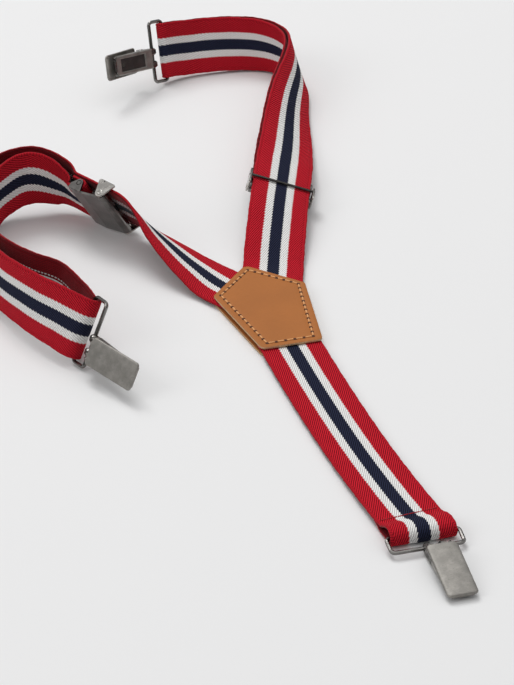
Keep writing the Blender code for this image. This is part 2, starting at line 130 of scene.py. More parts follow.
STRAP_ROW = 1.0  # length of one row of the webbing's faces
RIB_PITCH = 0.78
RIB_ANGLE = 28.0  # of the twill ribs to the strap's length
NAVY_HALF = 2.5
WHITE_HALF = 5.6
SELVAGE_FROM = 11.25
STITCH_PITCH = 3.6
STITCH_R = 0.38
HOLE_R = 0.7
SEAM_PITCH = 2.2
SEAM_R = 0.22
LEVER_HOLE_R = 0.75
PLATE_EAR_R = 1.9
LEVER_EAR_R = 2.0
EAR_HALF = 4.5  # of an adjuster's ear, along the strap at its top
EAR_FOOT_R = 2.2
BRIDGE_BAR_R = 0.6
EDGE_EASE = 0.18
SOFT_ANGLE = 50  # edges that turn by less than this are shaded smooth
METAL_ANGLE = 38
CAD_ANGLE = 35

RED = (0.52, 0.004, 0.016)
# a lighter copy of the red: painted highlight on the twill crests
RED_CREST_HIGHLIGHT = (0.72, 0.018, 0.036)
WHITE = (0.93, 0.92, 0.90)
NAVY = (0.010, 0.012, 0.026)
LEATHER = (0.42, 0.148, 0.036)
LEATHER_CUT = (0.56, 0.36, 0.20)
THREAD = (0.85, 0.42, 0.16)
METAL = (0.32, 0.305, 0.28)
METAL_RIM = (0.36, 0.345, 0.32)
METAL_DARK = (0.22, 0.21, 0.20)
METAL_RECESS = (0.085, 0.082, 0.078)
METAL_BRIGHT = (0.52, 0.50, 0.47)
FLOOR = (0.82, 0.82, 0.82)
# the painted shade inside the needle holes
NEEDLE_HOLE_SHADE = (0.09, 0.028, 0.010)
WORLD = (0.97, 0.97, 0.975, 1)

# Studio, in metres and degrees.
FLOOR_SIZE = 8
CAMERA_PLACE = (-0.320, -1.039, 0.630)
CAMERA_TURN = (59.3, 0, -16.8)
CAMERA_LENS = 164.7
CAMERA_SENSOR = 36
LIGHTS = (  # name, place, size, power; all aim at the origin
    ("key", (-0.25, 1.7, 2.7), 1.3, 38),
    ("fill", (-2.6, -0.6, 1.9), 1.6, 15),
    ("top", (0.0, 0.0, 3.2), 2.6, 17),
)
WORLD_RISE = (0.15, 0.75)  # heights between which the world brightens
WORLD_STRENGTH = (0.12, 0.62)


# ---------------------------------------------------------------- courses, as in the CAD

def smooth_value(stations, column, at):
    """The value of one column of a station table, eased so that it never overshoots."""
    where = [row[0] for row in stations]
    value = [row[column] for row in stations]
    slope = [(b - a) / (q - p) for a, b, p, q in zip(value, value[1:], where, where[1:])]
    tangent = [slope[0]]
    for a, b in zip(slope, slope[1:]):
        tangent.append(0 if a * b <= 0 else 2 * a * b / (a + b))
    tangent.append(slope[-1])
    i = max(k for k in range(len(slope)) if where[k] <= at or k == 0)
    span = where[i + 1] - where[i]
    t = (at - where[i]) / span
    return (
        (2 * t**3 - 3 * t**2 + 1) * value[i] + (t**3 - 2 * t**2 + t) * span * tangent[i]
        + (3 * t**2 - 2 * t**3) * value[i + 1] + (t**3 - t**2) * span * tangent[i + 1]
    )


class Course:
    """The middle line of a strap's outer layer, with its frame at each millimetre."""

    def __init__(self, start, stations):
        self.length = stations[-1][0]
        heading = [math.radians(smooth_value(stations, 1, s + 0.5)) for s in range(self.length)]
        self.points = [Vector((*start, smooth_value(stations, 3, 0)))]
        for s, turn in enumerate(heading):
            last = self.points[-1]
            height = smooth_value(stations, 3, s + 1)
            step = Vector((-math.sin(turn), math.cos(turn), 0))
            self.points.append(Vector((last.x + step.x, last.y + step.y, height)))
        self.tilts = [math.radians(smooth_value(stations, 2, s)) for s in range(self.length + 1)]

    def frame(self, at):
        """Rotation and origin at a distance: x along, y to the left edge, z out of the face."""
        inside = min(max(at, 0), self.length)
        i = min(int(inside), self.length - 1)
        share = inside - i
        before = self.points[max(i - 1, 0)]
        after = self.points[min(i + 2, self.length)]
        along = (after - before).normalized()
        level = Vector((0, 0, 1)).cross(along).normalized()
        tilt = self.tilts[i] * (1 - share) + self.tilts[i + 1] * share
        out = Matrix.Rotation(tilt, 3, along) @ along.cross(level)
        left = out.cross(along)
        origin = self.points[i].lerp(self.points[i + 1], share) + along * (at - inside)
        turn = Matrix((along, left, out)).transposed().to_4x4()
        return Matrix.Translation(origin) @ turn


def pitch(degrees, origin=(0, 0, 0)):
    """A frame turned about y, so that x dips towards -z."""
    return Matrix.Translation(Vector(origin)) @ Matrix.Rotation(math.radians(degrees), 4, "Y")


def knuckle_frame(side, course, layers):
    """The frame of a clip, on the clip's side of its ring, as in the CAD."""
    ring_pitch, clip_pitch, shift = CLIP_POSES[side]
    last = layers[-1][1]
    reach = last / 2 - STRAP_THICK / 2 - 1.5 * GAP - WIRE_R
    ring = course.frame(course.length) @ Matrix.Translation((reach, 0, -last / 2))
    return ring @ pitch(ring_pitch) @ pitch(clip_pitch, (RING_DEPTH, shift, 0))


def arc(centre, radius, start, end, steps):
    """Points on an arc, angles in degrees."""
    turns = [math.radians(start + (end - start) * i / steps) for i in range(steps + 1)]
    return [(centre[0] + radius * math.cos(a), centre[1] + radius * math.sin(a)) for a in turns]


def rounded(corners, radius, steps=6):
    """A closed outline with each corner turned into an arc."""
    outline = []
    for i, corner in enumerate(corners):
        here = Vector(corner)
        before = (Vector(corners[i - 1]) - here).normalized()
        after = (Vector(corners[(i + 1) % len(corners)]) - here).normalized()
        half = before.angle(after) / 2
        centre = here + (before + after).normalized() * (radius / math.sin(half))
        first = here + before * (radius / math.tan(half)) - centre
        last = here + after * (radius / math.tan(half)) - centre
        sweep = first.angle_signed(last)
        for k in range(steps + 1):
            spoke = first.copy()
            spoke.rotate(Matrix.Rotation(-sweep * k / steps, 2))
            outline.append(tuple(centre + spoke))
    return outline


def spaced(start, end):
    """Evenly spaced distances, about one row of faces apart, with both ends."""
    count = max(1, round(abs(end - start) / STRAP_ROW))
    return [start + (end - start) * i / count for i in range(count + 1)]


# ---------------------------------------------------------------- materials

class Shader:
    """Builds a Principled material from short lines of arithmetic."""

    def __init__(self, name):
        self.material = bpy.data.materials.new(name)
        self.material.use_nodes = True
        self.tree = self.material.node_tree
        self.principled = self.tree.nodes["Principled BSDF"]

    def put(self, socket, value):
        if isinstance(value, bpy.types.NodeSocket):
            self.tree.links.new(value, socket)
        else:
            socket.default_value = value

    def math(self, operation, a, b=0.0, c=0.0):
        node = self.tree.nodes.new("ShaderNodeMath")
        node.operation = operation
        for socket, value in zip(node.inputs, (a, b, c)):
            self.put(socket, value)
        return node.outputs[0]

    def mix(self, share, low, high):
        """A colour between two colours."""
        node = self.tree.nodes.new("ShaderNodeMix")
        node.data_type = "RGBA"
        self.put(node.inputs["Factor"], share)
        for socket, value in ((node.inputs[6], low), (node.inputs[7], high)):
            self.put(socket, (*value, 1) if isinstance(value, tuple) else value)
        return node.outputs[2]

    def between(self, value, low, high):
        """0 below low, 1 above high, smooth between."""
        node = self.tree.nodes.new("ShaderNodeMapRange")
        node.interpolation_type = "SMOOTHSTEP"
        self.put(node.inputs["Value"], value)
        node.inputs["From Min"].default_value = low
        node.inputs["From Max"].default_value = high
        return node.outputs[0]

    def scaled(self, value, low, high):
        """A 0 to 1 value made to run from low to high."""
        return self.math("MULTIPLY_ADD", value, high - low, low)

    def coordinates(self, output):
        node = self.tree.nodes.new("ShaderNodeTexCoord")
        return node.outputs[output]

    def split(self, vector):
        node = self.tree.nodes.new("ShaderNodeSeparateXYZ")
        self.tree.links.new(vector, node.inputs[0])
        return node.outputs

    def join(self, x, y, z=0.0):
        node = self.tree.nodes.new("ShaderNodeCombineXYZ")
        for socket, value in zip(node.inputs, (x, y, z)):
            self.put(socket, value)
        return node.outputs[0]

    def noise(self, vector, scale, detail=3.0):
        node = self.tree.nodes.new("ShaderNodeTexNoise")
        self.tree.links.new(vector, node.inputs["Vector"])
        node.inputs["Scale"].default_value = scale
        node.inputs["Detail"].default_value = detail
        return node.outputs["Fac"]

    def cells(self, vector, scale):
        node = self.tree.nodes.new("ShaderNodeTexVoronoi")
        self.tree.links.new(vector, node.inputs["Vector"])
        node.inputs["Scale"].default_value = scale
        return node.outputs["Distance"]

    def bump(self, height, depth, strength=1.0):
        node = self.tree.nodes.new("ShaderNodeBump")
        node.inputs["Distance"].default_value = depth * MM
        node.inputs["Strength"].default_value = strength
        self.tree.links.new(height, node.inputs["Height"])
        self.tree.links.new(node.outputs["Normal"], self.principled.inputs["Normal"])

    def done(self, colour, roughness, metallic=0.0, specular=0.5, sheen=0.0):
        base = (*colour, 1) if isinstance(colour, tuple) else colour
        self.put(self.principled.inputs["Base Color"], base)
        self.put(self.principled.inputs["Roughness"], roughness)
        self.principled.inputs["Metallic"].default_value = metallic
        self.principled.inputs["Specular IOR Level"].default_value = specular
        self.principled.inputs["Sheen Weight"].default_value = sheen
        self.principled.inputs["Sheen Roughness"].default_value = 0.4
        return self.material


def shade(colour, amount):
    """A colour made darker or lighter."""
    return tuple(c * amount for c in colour)


def webbing_face():
    """Twill ribs across red, white and navy stripes with stepped edges, with painted shade in the
    grooves and painted highlight on the crests.
    """
    s = Shader("webbing_face")
    along, across, _ = s.split(s.coordinates("UV"))
    lean = math.radians(RIB_ANGLE)
    rib = s.math(
        "ADD", s.math("MULTIPLY", along, math.sin(lean) / RIB_PITCH),
        s.math("MULTIPLY", across, math.cos(lean) / RIB_PITCH),
    )
    ridge = s.math("ABSOLUTE", s.math("SINE", s.math("MULTIPLY", rib, math.pi)))
    run = s.math(
        "SUBTRACT", s.math("MULTIPLY", along, math.cos(lean) / 1.3),
        s.math("MULTIPLY", across, math.sin(lean) / 1.3),
    )
    staggered = s.math("ADD", run, s.math("MULTIPLY", s.math("FLOOR", rib), 0.37))
    float_end = s.math("ABSOLUTE", s.math("SINE", s.math("MULTIPLY", staggered, math.pi)))
    side = s.math("ABSOLUTE", across)
    step = s.math("PINGPONG", rib, 0.5)
    stepped = s.math("ADD", side, s.math("MULTIPLY_ADD", step, 1.0, -0.25))
    white = s.between(stepped, NAVY_HALF - 0.06, NAVY_HALF + 0.06)
    red = s.between(stepped, WHITE_HALF - 0.06, WHITE_HALF + 0.06)
    # Painted shade and highlight: darker copies of each stripe colour in the grooves, lighter copies on
    # the crests, mixed by rib height
    low = s.mix(red, s.mix(white, shade(NAVY, 0.35), shade(WHITE, 0.66)), shade(RED, 0.2))
    high = s.mix(red, s.mix(white, shade(NAVY, 2.2), WHITE), RED_CREST_HIGHLIGHT)
    crown = s.math("MULTIPLY", ridge, s.scaled(float_end, 0.72, 1.0))
    selvage = s.between(side, SELVAGE_FROM - 0.15, SELVAGE_FROM + 0.25)
    weft = s.math("ABSOLUTE", s.math("SINE", s.math("MULTIPLY", along, math.pi / 0.8)))
    height = s.math(
        "ADD", s.math("MULTIPLY", crown, s.math("SUBTRACT", 1.0, selvage)),
        s.math("MULTIPLY", s.scaled(weft, 0.3, 0.62), selvage),
    )
    fuzz = s.noise(s.join(along, across), 3.2, 5.0)
    cloud = s.noise(s.join(along, across), 0.12, 2.0)
    lit = s.math("MULTIPLY", s.between(height, 0.1, 0.9), s.scaled(fuzz, 0.75, 1.35))
    colour = s.mix(lit, low, high)
    worn = s.mix(s.scaled(cloud, 0.0, 0.22), colour, shade(RED, 0.4))
    s.bump(s.math("ADD", height, s.math("MULTIPLY", fuzz, 0.35)), 0.28, 0.9)
    return s.done(s.mix(white, colour, s.mix(red, colour, worn)), 0.9, specular=0.1)


def webbing_reverse():
    """Fine lengthwise ribs in dark red, with dotted and solid lines behind the white stripes, and
    painted shade between the ribs.
    """
    s = Shader("webbing_reverse")
    along, across, _ = s.split(s.coordinates("UV"))
    side = s.math("ABSOLUTE", across)
    rib = s.math("ABSOLUTE", s.math("SINE", s.math("MULTIPLY", across, math.pi / 0.72)))
    dash = s.math("ABSOLUTE", s.math("SINE", s.math("MULTIPLY", along, math.pi / 1.5)))
    knit = s.math("ABSOLUTE", s.math("SINE", s.math("MULTIPLY", along, math.pi / 0.9)))

    def line(middle, half):
        away = s.math("ABSOLUTE", s.math("SUBTRACT", side, middle))
        return s.math("SUBTRACT", 1.0, s.between(away, half - 0.08, half + 0.08))

    borders = s.math("ADD", line(2.75, 0.26), line(5.3, 0.26))
    dotted = s.math("MULTIPLY", borders, s.between(dash, 0.45, 0.6))
    white = s.math("MINIMUM", s.math("ADD", dotted, line(4.0, 0.34)), 1.0)
    inner = s.math("SUBTRACT", 1.0, s.between(side, NAVY_HALF - 0.2, NAVY_HALF))
    ground = s.mix(inner, shade(RED, 0.42), shade(NAVY, 0.8))
    height = s.math("MULTIPLY", rib, s.scaled(knit, 0.6, 1.0))
    fuzz = s.noise(s.join(along, across), 3.5, 4.0)
    lit = s.math("MULTIPLY", s.between(height, 0.05, 0.8), s.scaled(fuzz, 0.7, 1.25))
    # Painted shade: the grooves between the ribs get much darker copies of the red and navy
    base = s.mix(lit, s.mix(inner, shade(RED, 0.12), shade(NAVY, 0.3)), ground)
    s.bump(s.math("ADD", height, s.math("MULTIPLY", fuzz, 0.3)), 0.2, 0.8)
    return s.done(s.mix(white, base, shade(WHITE, 0.75)), 0.9, specular=0.2, sheen=0.1)


def webbing_edge():
    """The side of the webbing, where the weft turns, with painted shade between the turns."""
    s = Shader("webbing_edge")
    along, across, _ = s.split(s.coordinates("UV"))
    weft = s.math("ABSOLUTE", s.math("SINE", s.math("MULTIPLY", along, math.pi / 0.55)))
    fuzz = s.noise(s.join(along, across), 4.0, 4.0)
    s.bump(s.math("ADD", weft, fuzz), 0.15, 0.8)
    # Painted shade: the grooves between the weft turns get a darker copy of the red
    lit = s.math("MULTIPLY", s.scaled(weft, 0.45, 1.0), s.scaled(fuzz, 0.7, 1.2))
    return s.done(s.mix(lit, shade(RED, 0.3), shade(RED, 0.85)), 0.9, specular=0.2, sheen=0.1)


def leather(name, colour, grain=1.0):
    """Smooth tan leather with soft clouding, fine pores and a low sheen."""
    s = Shader(name)
    where = s.coordinates("Object")
    cloud = s.noise(where, 55.0, 4.0)
    fibre = s.noise(where, 900.0, 6.0)
    pores = s.cells(where, 1500.0)
    tone = s.mix(s.between(cloud, 0.25, 0.75), shade(colour, 0.94), shade(colour, 1.05))
    fine = s.mix(s.scaled(fibre, 0.0, 0.35), tone, shade(colour, 0.72))
    dents = s.math("MULTIPLY", s.between(pores, 0.0, 0.35), 0.6)
    s.bump(s.math("ADD", dents, s.math("MULTIPLY", fibre, 0.8)), 0.06 * grain, 0.7)
    return s.done(fine, s.scaled(cloud, 0.58, 0.66), specular=0.22)


def thread(name, colour):
    """Twisted sewing thread, with painted shade in the grooves of its twist."""
    s = Shader(name)
    where = s.coordinates("Object")
    x, y, z = s.split(where)
    slant = s.math("ADD", s.math("ADD", x, y), z)
    twist = s.math("SINE", s.math("MULTIPLY", slant, 2 * math.pi / (0.35 * MM)))
    ply = s.scaled(twist, 0.8, 1.0)
    fuzz = s.noise(where, 4000.0)
    s.bump(ply, 0.06, 0.8)
    # Painted shade: the grooves between the plies are darkened towards 0.45 of the thread colour
    lit = s.math("MULTIPLY", ply, s.scaled(fuzz, 0.7, 1.2))
    return s.done(s.mix(lit, shade(colour, 0.45), colour), 0.8, sheen=0.2)


def plain(name, colour, roughness):
    """One colour with a fine grain."""
    s = Shader(name)
    grain = s.noise(s.coordinates("Object"), 3000.0)
    return s.done(s.mix(grain, shade(colour, 0.7), colour), roughness)


def metal(name, colour, roughness, brush=1.0, metallic=1.0):
    """Brushed antique plating with darker clouds where it has toned."""
    s = Shader(name)
    where = s.coordinates("Object")
    x, y, z = s.split(where)
    drawn_out = s.join(s.math("MULTIPLY", x, 0.08), y, s.math("MULTIPLY", z, 0.5))
    brushed = s.noise(drawn_out, 9000.0, 4.0)
    cloud = s.noise(where, 260.0, 4.0)
    speck = s.noise(where, 1600.0, 5.0)
    tone = s.mix(s.between(cloud, 0.3, 0.75), shade(colour, 0.78), shade(colour, 1.15))
    streak = s.math("MULTIPLY", s.between(brushed, 0.35, 0.7), 0.4 * brush)
    fine = s.mix(streak, tone, shade(colour, 0.6))
    aged = s.mix(s.math("MULTIPLY", s.between(speck, 0.58, 0.72), 0.35), fine, shade(colour, 0.35))
    s.bump(s.math("ADD", brushed, s.math("MULTIPLY", speck, 0.5)), 0.03 * brush, 0.6)
    clouded = s.scaled(cloud, roughness - 0.06, roughness + 0.08)
    rough = s.math("ADD", clouded, s.math("MULTIPLY", brushed, 0.08))
    return s.done(aged, rough, metallic=metallic)


def floor_material():
    """Pale paper with barely any grain."""
    s = Shader("studio_floor")
    grain = s.noise(s.coordinates("Object"), 40.0)
    return s.done(s.mix(grain, shade(FLOOR, 0.995), FLOOR), 0.75, specular=0.15)


# ---------------------------------------------------------------- mesh helpers

def make_object(name, bm, materials, sharp=SOFT_ANGLE):
    """A mesh object in metres from a bmesh in millimetres."""
    bmesh.ops.scale(bm, vec=(MM, MM, MM), verts=bm.verts)
    mesh = bpy.data.meshes.new(name)
    bm.to_mesh(mesh)
    bm.free()
    for look in materials:
        mesh.materials.append(look)
    mesh.shade_smooth()
    mesh.set_sharp_from_angle(angle=math.radians(sharp))
    obj = bpy.data.objects.new(name, mesh)
    bpy.context.scene.collection.objects.link(obj)
    return obj


STRAP_PROFILE = (  # across from the middle, height of the surface
    (0.0, 0.65), (2.5, 0.66), (5.6, 0.66), (8.5, 0.66), (10.6, 0.65), (11.0, 0.6),
    (11.25, 0.46), (11.5, 0.6), (11.9, 0.7), (12.25, 0.56), (12.45, 0.25),
)


def strap_section():
    """The closed section as lists of (across, height): the top and the bottom, which between them give
    both faces and both edges.
    """
    right = [(-v, h) for v, h in reversed(STRAP_PROFILE[1:])]
    top = right + list(STRAP_PROFILE)
    bottom = [(v, -h) for v, h in reversed(top)]
    return top, bottom


def ribbon(name, course, line, run_before=0.0, lead=(), trail=()):
    """Webbing whose side view is a line of (distance, out) points on a course.

    Lead and trail are points of the webbing it joins, which set how its ends face."""
    top, bottom = strap_section()
    ring = top + bottom
    whole = [course.frame(at) @ Vector((0, 0, out)) for at, out in (*lead, *line, *trail)]
    middle = whole[len(lead):len(whole) - len(trail)]
    bm = bmesh.new()
    layer = bm.loops.layers.uv.new("UVMap")
    rows = []
    travelled = run_before
    run = []
    for i, (at, out) in enumerate(line):
        here = i + len(lead)
        before = whole[max(here - 1, 0)]
        after = whole[min(here + 1, len(whole) - 1)]
        along = (after - before).normalized()
        left = course.frame(at).to_3x3().col[1]
        out_of_face = along.cross(left).normalized()
        left = out_of_face.cross(along)
        if i:
            travelled += (middle[i] - middle[i - 1]).length
        run.append(travelled)
        waver = 0.07 * math.sin(travelled * 0.55) + 0.05 * math.sin(travelled * 1.7 + 1)
        rows.append([
            bm.verts.new(middle[i] + left * (v * (1 + waver / 12.5)) + out_of_face * h)
            for v, h in ring
        ])
    count = len(ring)
    for i in range(len(rows) - 1):
        for k in range(count):
            n = (k + 1) % count
            face = bm.faces.new((rows[i][k], rows[i + 1][k], rows[i + 1][n], rows[i][n]))
            if k == len(top) - 1 or k == count - 1:
                face.material_index = 2
            elif k >= len(top):
                face.material_index = 1
            for loop, (row, column) in zip(face.loops, ((i, k), (i + 1, k), (i + 1, n), (i, n))):
                loop[layer].uv = (run[row], ring[column][0])
    for row in (rows[0], list(reversed(rows[-1]))):
        bm.faces.new(row).material_index = 2
    bmesh.ops.recalc_face_normals(bm, faces=bm.faces)
    obj = make_object(name, bm, (WEB_FACE, WEB_REVERSE, WEB_EDGE))
    return obj, travelled - run_before


def looped_line(course, layers, end_at):
    """Outer layer, turn round the ring's wire, and inner layer back to end_at."""
    last = layers[-1][1]
    outer = [(s, 0) for s in spaced(0, course.length)]
    turn = [
        (course.length + x, z) for x, z in arc((0, -last / 2), last / 2, 90, -90, 16)[1:-1]
    ]
    inner = [(s, -smooth_value(layers, 1, s)) for s in spaced(course.length, end_at)]
    return outer + turn + inner


def skin(bm, loops):
    """Quads between neighbouring outlines, closed at both ends. Gives the bands and the ends."""
    bands = []
    for one, two in zip(loops, loops[1:]):
        quads = zip(one, one[1:] + one[:1], two[1:] + two[:1], two)
        bands.append([bm.faces.new(quad) for quad in quads])
    return bands, bm.faces.new(loops[-1]), bm.faces.new(list(reversed(loops[0])))


def capsule(bm, start, end, radius, sides=8):
    """A rod with rounded ends between two points."""
    axis = end - start
    length = axis.length
    turn = axis.to_track_quat("Z", "Y").to_matrix()
    rings = [(-radius * 0.95, 0.35), (-radius * 0.5, 0.85), (0, 1.0)]
    profile = [(z, r) for z, r in rings] + [(length - z, r) for z, r in reversed(rings)]
    loops = []
    for z, r in profile:
        loop = []
        for k in range(sides):
            a = 2 * math.pi * k / sides
            point = Vector((radius * r * math.cos(a), radius * r * math.sin(a), z))
            loop.append(bm.verts.new(start + turn @ point))
        loops.append(loop)
    skin(bm, loops)


# ---------------------------------------------------------------- straps

def build_straps():
    back = Course(BACK_START, BACK_COURSE)
    courses = {"back": (back, BACK_LAYERS)}
    line = looped_line(back, BACK_LAYERS, BACK_SEAM_AT - 3)
    strap, length = ribbon("back_webbing", back, line)
    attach(strap, "straps")
    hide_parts("back_strap")
    for side, start, stations, layers, at in (
        ("right", RIGHT_START, RIGHT_COURSE, RIGHT_LAYERS, RIGHT_ADJUSTER_AT),
        ("left", LEFT_START, LEFT_COURSE, LEFT_LAYERS, LEFT_ADJUSTER_AT),
    ):
        course = Course(start, stations)
        bend_from = at + STRAP_END_FROM
        run = [(s, -smooth_value(layers, 1, s)) for s in spaced(bend_from, at + END_TAB_X)]
        line = looped_line(course, layers, bend_from)
        main, length = ribbon(f"{side}_webbing", course, line, trail=run[1:2])
        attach(main, "straps")
        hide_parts(f"{side}_front_strap")
        reach = END_BAR_R + GAP + STRAP_THICK / 2
        turn = arc((END_BAR_X, ADJUSTER_PIN_Z), reach, 270, 90, 14)
        sewn = [(x, ADJUSTER_PIN_Z + reach) for x in spaced(END_BAR_X + 1, END_TAB_X)]
        loop = [(at + x, z) for x, z in [(END_TAB_X - 3, ADJUSTER_PIN_Z - reach), *turn, *sewn]]
        end, tail = ribbon(f"{side}_webbing_end", course, run + loop, length, lead=line[-2:-1])
        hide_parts(f"{side}_strap_end")
        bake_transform(end)
        courses[side] = (course, layers)
    return courses


def build_seam(course):
    """Stitches across the back strap, where its end is sewn to it."""
    bm = bmesh.new()
    place = course.frame(BACK_SEAM_AT)
    count = int((STRAP_WIDTH - 3) / SEAM_PITCH)
    reach = SEAM_PITCH * 0.36
    lift = STRAP_THICK / 2 + 0.12
    for i in range(count):
        middle = (i - (count - 1) / 2) * SEAM_PITCH
        ends = [place @ Vector((0, y, lift)) for y in (middle - reach, middle + reach)]
        capsule(bm, *ends, SEAM_R)
    obj = make_object("back_seam_stitches", bm, (RED_THREAD,))
    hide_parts("back_strap_thread")
    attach(obj, "straps")


# ---------------------------------------------------------------- leather patch

def patch_corners(inset):
    """The pentagon's corners, moved in from its edge."""
    slope = inset * math.tan(math.radians(22))
    return [
        (0, PATCH_TOP_Y - inset * math.sqrt(2)),
        (PATCH_HALF_WIDTH - inset, PATCH_SHOULDER_Y - slope / 2),
        (PATCH_FOOT_HALF_WIDTH - inset, PATCH_FOOT_Y + inset),
        (-PATCH_FOOT_HALF_WIDTH + inset, PATCH_FOOT_Y + inset),
        (-PATCH_HALF_WIDTH + inset, PATCH_SHOULDER_Y - slope / 2),
    ]


def on_patch(x, y, z):
    """A point of the patch's own frame."""
    return Vector((x + PATCH_MIDDLE[0], y + PATCH_MIDDLE[1], z))


def patch_layer(name, bottom, node, grooved):
    """One leather: rounded cut edge, and a shallow groove under the stitches."""
    dip = 0.22 if grooved else 0.0
    top = bottom + LEATHER_THICK
    levels = [  # inset, height, 1 where the edge is cut
        (0.25, bottom, 1), (0.0, bottom + 0.25, 1), (0.0, top - 0.3, 1), (0.08, top - 0.12, 1),
        (0.3, top, 0), (1.2, top, 0), (2.2, top - 0.02, 0), (2.6, top - dip * 0.6, 0),
        (STITCH_INSET, top - dip, 0), (3.4, top - dip * 0.6, 0), (3.8, top - 0.02, 0),
        (5.2, top, 0), (9.0, top + 0.04, 0),
    ]
    bm = bmesh.new()
    loops = []
    for inset, height, _ in levels:
        outline = rounded(patch_corners(inset), max(PATCH_CORNER_R - inset * 0.35, 0.8))
        loops.append([bm.verts.new(on_patch(x, y, height)) for x, y in outline])
    bands, _, under = skin(bm, loops)
    for band, (_, _, cut) in zip(bands, levels[1:]):
        for face in band:
            face.material_index = cut
    under.material_index = 1
    bmesh.ops.recalc_face_normals(bm, faces=bm.faces)
    obj = make_object(name, bm, (LEATHER_TOP, LEATHER_EDGE))
    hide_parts(node)
    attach(obj, "straps")


def build_patch():
    upper = LEATHER_THICK + 2 * GAP + STRAP_THICK
    patch_layer("leather_under", 0.0, "patch_inner", False)
    patch_layer("leather_top", upper, "patch_outer", True)
    surface = upper + LEATHER_THICK - 0.2
    holes = bmesh.new()
    threads = bmesh.new()
    corners = patch_corners(STITCH_INSET)
    for i, corner in enumerate(corners):
        a = on_patch(*corners[i - 1], surface)
        b = on_patch(*corner, surface)
        count = round((b - a).length / STITCH_PITCH)
        for k in range(count):
            here = a.lerp(b, k / count)
            there = a.lerp(b, (k + 1) / count)
            step = (there - here).normalized()
            # Painted shade: a dark disc at each needle hole stands for the shade inside it
            bmesh.ops.create_cone(
                holes, cap_ends=True, segments=12, radius1=HOLE_R, radius2=HOLE_R, depth=0.5,
                matrix=Matrix.Translation(here + Vector((0, 0, 0.02))),
            )
            lift = Vector((0, 0, 0.2))
            inset = step * (HOLE_R * 1.25)
            capsule(threads, here + inset + lift, there - inset + lift, STITCH_R)
    hole_object = make_object("patch_needle_hole_shade", holes, (DARK,))
    thread_object = make_object("patch_stitches", threads, (TAN_THREAD,))
    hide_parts("patch_thread")
    for obj, name in ((hole_object, "leather"), (thread_object, "thread")):
        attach(obj, "straps")


# ---------------------------------------------------------------- metal pieces


def metal_piece(obj, body, node):
    """A finished metal piece stands for its CAD node, and moves with that node's body."""
    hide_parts(node)
    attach(obj, body)


def shell(bm, place, levels, outline_at, crown=0.0, half=1.0):
    """Stacked outlines closed at both ends, bent down towards the sides by a crown."""
    loops = []
    for inset, height in levels:
        loop = []
        for x, y in outline_at(inset):
            loop.append(bm.verts.new(place @ Vector((x, y, height - crown * (y / half) ** 2))))
        loops.append(loop)
    skin(bm, loops)


def slab(bm, place, outline, y, thick):
    """A flat piece drawn in xz, thick along y, with eased edges."""
    ease = thick * 0.22
    centre = Vector((sum(p[0] for p in outline), sum(p[1] for p in outline))) / len(outline)
    loops = []
    for side, inset in ((-0.5, 1), (-0.5 + ease / thick, 0), (0.5 - ease / thick, 0), (0.5, 1)):
        loop = []
        for point in outline:
            away = Vector(point) - centre
            x, z = Vector(point) - away.normalized() * ease * inset
            loop.append(bm.verts.new(place @ Vector((x, y + side * thick, z))))
        loops.append(loop)
    skin(bm, loops)


def front_plate(side, place):
    """A crowned plate with rolled edges and a bent tip, on the two ears that hold its pin."""
    rear, tip = Vector(PLATE_REAR), Vector(PLATE_TIP)
    run = (tip - rear).normalized()
    normal = Vector((-run.y, run.x))
    length = (tip - rear).length
    half = PLATE_WIDTH / 2
    slope = place @ pitch(-math.degrees(math.atan2(run.y, run.x)), (rear.x, 0, rear.y))

    def outline_at(inset):
        low, high, side_y = inset, length - inset, half - inset
        corners = [(low, -side_y), (high, -side_y), (high, side_y), (low, side_y)]
        return rounded(corners, max(PLATE_CORNER_R - inset * 0.5, 0.6))

    bm = bmesh.new()
    levels = (
        (3.0, -0.75), (0.95, -0.8), (0.75, -1.05), (0.4, -1.15), (0.1, -1.0), (0.0, -0.7),
        (0.05, -0.35), (0.25, -0.12), (0.6, -0.02), (1.4, 0.0), (3.0, 0.0),
    )
    shell(bm, slope, levels, outline_at, crown=0.3, half=half)
    lip_place = slope @ Matrix.Translation((length - 0.6, 0, -PLATE_LIP / 2 - 0.4))
    lip_half = half - PLATE_CORNER_R

    def lip_outline(inset):
        x, y = 0.45 - inset, lip_half - inset
        return rounded([(-x, -y), (x, -y), (x, y), (-x, y)], 0.15, 2)

    lip_levels = ((0.15, -PLATE_LIP / 2), (0.0, 0.15 - PLATE_LIP / 2), (0.0, PLATE_LIP / 2))
    shell(bm, lip_place, lip_levels, lip_outline)
    pin = (JAW_PIN_X, JAW_PIN_Z)
    front = rear + run * 5.0 - normal * 0.4
    back = rear + run * 0.6 - normal * 0.4
    ear = [tuple(back)] + arc(pin, PLATE_EAR_R, 130, 330, 16) + [tuple(front)]
    for y in (EAR_Y, -EAR_Y):
        slab(bm, place, ear, y, SHEET)
    bmesh.ops.recalc_face_normals(bm, faces=bm.faces)
    obj = make_object(f"{side}_crowned_plate", bm, (BRUSHED,), METAL_ANGLE)
    metal_piece(obj, f"{side}_jaw", f"{side}_front_plate")


def embossed(x, y):
    """Depth of the lever's sunken panel at a point of its back."""
    across = min(max((LEVER_WIDTH / 2 - 1.15 - abs(y)) / 0.55, 0), 1)
    along = min(max(min(x - 6.0, LEVER_LENGTH - 3.0 - x) / 0.8, 0), 1)
    share = min(across, along)
    return 0.55 * share * share * (3 - 2 * share)


